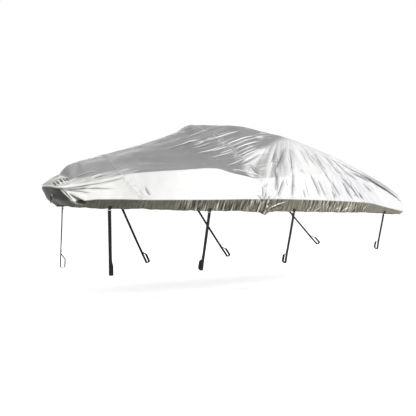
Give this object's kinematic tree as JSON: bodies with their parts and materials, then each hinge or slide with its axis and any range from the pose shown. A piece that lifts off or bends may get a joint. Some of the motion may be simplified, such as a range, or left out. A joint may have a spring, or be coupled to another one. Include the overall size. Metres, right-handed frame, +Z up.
{
  "type": "boat cover",
  "caption": "Fitted, hollow cover of silver-grey coated polyester with a crowned top, a drawcord hem gathered in under the sides, and looped webbing tie-down straps.",
  "frame": {"origin": "the underside of the cloth at the crown, on the centre line, where the tallest part of what is covered holds it up", "axes": "+X runs aft from bow to stern, +Y to starboard, +Z up"},
  "size_m": [4.8415, 2.0667, 1.7338],
  "materials": {
    "coated_cloth": "silver-grey coated polyester with a low sheen",
    "black_webbing": "matt black woven webbing",
    "plated_steel": "plated wire",
    "black_cord": "braided black cord",
    "black_plastic": "moulded"
  },
  "bodies": {
    "root": {"panel_bow": "coated_cloth", "panel_fore": "coated_cloth", "panel_mid": "coated_cloth", "panel_stern": "coated_cloth", "tab_port_1": "black_webbing", "tab_port_2": "black_webbing", "tab_port_3": "black_webbing", "tab_port_4": "black_webbing", "tab_starboard_1": "black_webbing", "tab_starboard_2": "black_webbing", "tab_starboard_3": "black_webbing", "tab_starboard_4": "black_webbing", "ring_port_1": "plated_steel", "ring_port_2": "plated_steel", "ring_port_3": "plated_steel", "ring_port_4": "plated_steel", "ring_starboard_1": "plated_steel", "ring_starboard_2": "plated_steel", "ring_starboard_3": "plated_steel", "ring_starboard_4": "plated_steel", "strap_port_1": "black_webbing", "strap_port_2": "black_webbing", "strap_port_3": "black_webbing", "strap_port_4": "black_webbing", "strap_starboard_1": "black_webbing", "strap_starboard_2": "black_webbing", "strap_starboard_3": "black_webbing", "strap_starboard_4": "black_webbing", "eyelet": "plated_steel", "drawcord": "black_cord", "cord_lock": "black_plastic"}
  },
  "joints": []
}
